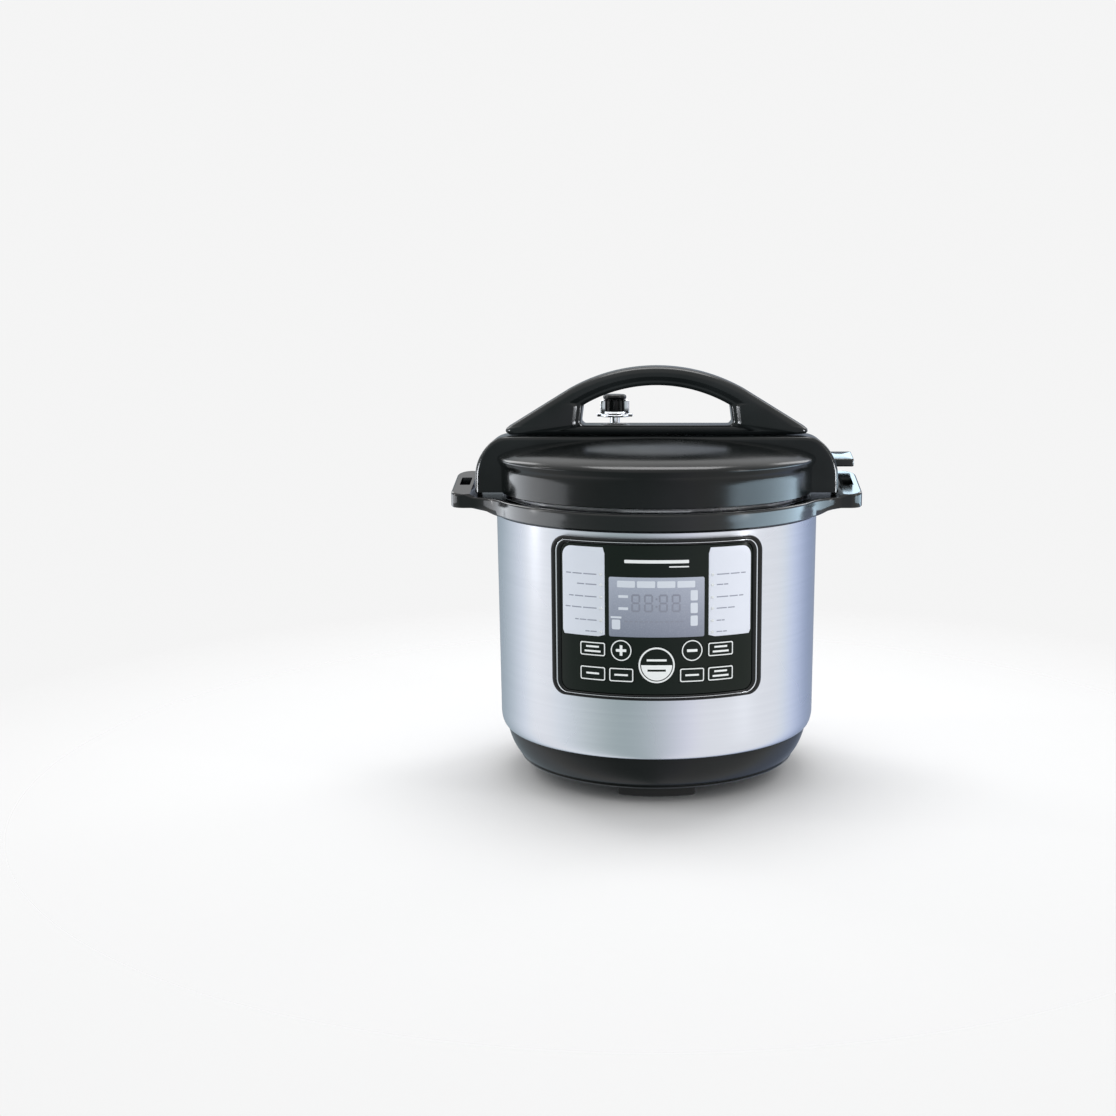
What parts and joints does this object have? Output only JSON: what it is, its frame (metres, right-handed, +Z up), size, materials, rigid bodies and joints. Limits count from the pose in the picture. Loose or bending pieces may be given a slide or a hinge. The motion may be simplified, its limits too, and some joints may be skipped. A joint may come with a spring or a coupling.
{
  "type": "electric pressure cooker",
  "caption": "Round electric pressure cooker: steel body, black domed lid with arched handle, side ears, curved control panel, lift-out pot.",
  "frame": {"origin": "on the vertical axis of the pot, level with the soles of the feet", "axes": "+Z up along the pot's axis; the control panel faces -Y; +X to the right seen from the front"},
  "size_m": [0.3556, 0.2972, 0.3569],
  "materials": {
    "brushed_shell": "satin brushed stainless steel",
    "plain_steel": "plain pressed stainless steel",
    "pot_steel": "polished inside, with water marks low down",
    "cast_aluminium": "cast and faced",
    "brass_nut": "turned",
    "brass_pin": "plated",
    "gloss_black": "glossy moulded plastic",
    "satin_black": "satin moulded plastic",
    "panel_face": "glossy printed film",
    "key_black": "glossy key with a pale outline",
    "key_white": "two-tone key, dark above and white below",
    "silver_label": "silver printed film",
    "display": "clear window over a grey display",
    "board": "coated circuit board",
    "component": "moulded component",
    "silicone": "translucent silicone",
    "foot_rubber": "matt rubber",
    "cup_clear": "clear plastic cup"
  },
  "bodies": {
    "base": {"outer_shell": "brushed_shell", "base_shell": "gloss_black", "foot_front": "foot_rubber", "foot_right": "foot_rubber", "foot_left": "foot_rubber", "collar_ring": "gloss_black", "locking_ring": "plain_steel", "pot_housing": "plain_steel", "heating_plate": "cast_aluminium", "thermal_fuse": "component", "sensor_spring": "plain_steel", "spring_beam": "plain_steel", "pressure_switch": "component", "power_board": "board", "transformer": "component", "relay": "component", "panel_bezel": "gloss_black", "panel_fascia": "panel_face", "display_window": "display", "label_plate_left": "silver_label", "label_plate_right": "silver_label", "key_mat": "silicone", "control_board": "board", "display_module": "component", "power_inlet": "satin_black", "inlet_pin_live": "brass_pin", "inlet_pin_neutral": "brass_pin", "inlet_pin_earth": "brass_pin", "cup_rail": "satin_black"},
    "pot": {"inner_pot": "pot_steel"},
    "inner_lid": {"sealing_ring": "silicone", "inner_lid_plate": "plain_steel", "liner_grommet": "silicone"},
    "lid": {"lid_cover": "gloss_black", "arch_handle": "gloss_black", "handle_screw_left": "plain_steel", "handle_screw_right": "plain_steel", "steel_lid": "plain_steel", "vent_pipe": "plain_steel", "vent_nut": "brass_nut", "anti_block_shield": "plain_steel", "centre_post": "plain_steel"},
    "steam_valve": {"valve_knob": "gloss_black"},
    "float_valve": {"float_pin": "plain_steel", "float_cap": "silicone"},
    "sensor": {"temperature_sensor": "cast_aluminium"},
    "cup": {"condensation_cup": "cup_clear"},
    "key_upper_left": {"button_upper_left": "key_black"},
    "key_plus": {"button_plus": "key_black"},
    "key_start": {"button_start": "key_white"},
    "key_minus": {"button_minus": "key_black"},
    "key_upper_right": {"button_upper_right": "key_black"},
    "key_lower_left_outer": {"button_lower_left_outer": "key_black"},
    "key_lower_left_inner": {"button_lower_left_inner": "key_black"},
    "key_lower_right_inner": {"button_lower_right_inner": "key_black"},
    "key_lower_right_outer": {"button_lower_right_outer": "key_black"}
  },
  "joints": [
    {"name": "pot_lift", "type": "slide", "parent": "base", "child": "pot", "axis": [0, 0, 1], "range_m": [0, 0.2]},
    {"name": "lid_lift", "type": "slide", "parent": "pot", "child": "inner_lid", "axis": [0, 0, 1], "range_m": [0, 0.2]},
    {"name": "lid_turn", "type": "hinge", "parent": "inner_lid", "child": "lid", "pos_m": [0, 0, 0.25], "axis": [0, 0, 1], "range_deg": [0, 30]},
    {"name": "valve_turn", "type": "hinge", "parent": "lid", "child": "steam_valve", "pos_m": [-0.0386, 0.077, 0.31], "axis": [0, 0, 1], "range_deg": [0, 90]},
    {"name": "float_rise", "type": "slide", "parent": "lid", "child": "float_valve", "axis": [0, 0, 1], "range_m": [0, 0.005]},
    {"name": "sensor_press", "type": "slide", "parent": "base", "child": "sensor", "axis": [0, 0, 1], "range_m": [-0.003, 0], "stiffness_N_per_m": 400, "springref_m": 0.003, "deforming": ["sensor_spring"]},
    {"name": "cup_pull", "type": "slide", "parent": "base", "child": "cup", "axis": [0, 1, 0], "range_m": [0, 0.05]},
    {"name": "press_upper_left", "type": "slide", "parent": "base", "child": "key_upper_left", "axis": [0.3551, 0.9348, 0], "range_m": [0, 0.0006], "stiffness_N_per_m": 800},
    {"name": "press_plus", "type": "slide", "parent": "base", "child": "key_plus", "axis": [0.196, 0.9806, 0], "range_m": [0, 0.0006], "stiffness_N_per_m": 800},
    {"name": "press_start", "type": "slide", "parent": "base", "child": "key_start", "axis": [0, 1, 0], "range_m": [0, 0.0006], "stiffness_N_per_m": 800},
    {"name": "press_minus", "type": "slide", "parent": "base", "child": "key_minus", "axis": [-0.196, 0.9806, 0], "range_m": [0, 0.0006], "stiffness_N_per_m": 800},
    {"name": "press_upper_right", "type": "slide", "parent": "base", "child": "key_upper_right", "axis": [-0.3551, 0.9348, 0], "range_m": [0, 0.0006], "stiffness_N_per_m": 800},
    {"name": "press_lower_left_outer", "type": "slide", "parent": "base", "child": "key_lower_left_outer", "axis": [0.3551, 0.9348, 0], "range_m": [0, 0.0006], "stiffness_N_per_m": 800},
    {"name": "press_lower_left_inner", "type": "slide", "parent": "base", "child": "key_lower_left_inner", "axis": [0.196, 0.9806, 0], "range_m": [0, 0.0006], "stiffness_N_per_m": 800},
    {"name": "press_lower_right_inner", "type": "slide", "parent": "base", "child": "key_lower_right_inner", "axis": [-0.196, 0.9806, 0], "range_m": [0, 0.0006], "stiffness_N_per_m": 800},
    {"name": "press_lower_right_outer", "type": "slide", "parent": "base", "child": "key_lower_right_outer", "axis": [-0.3551, 0.9348, 0], "range_m": [0, 0.0006], "stiffness_N_per_m": 800}
  ]
}
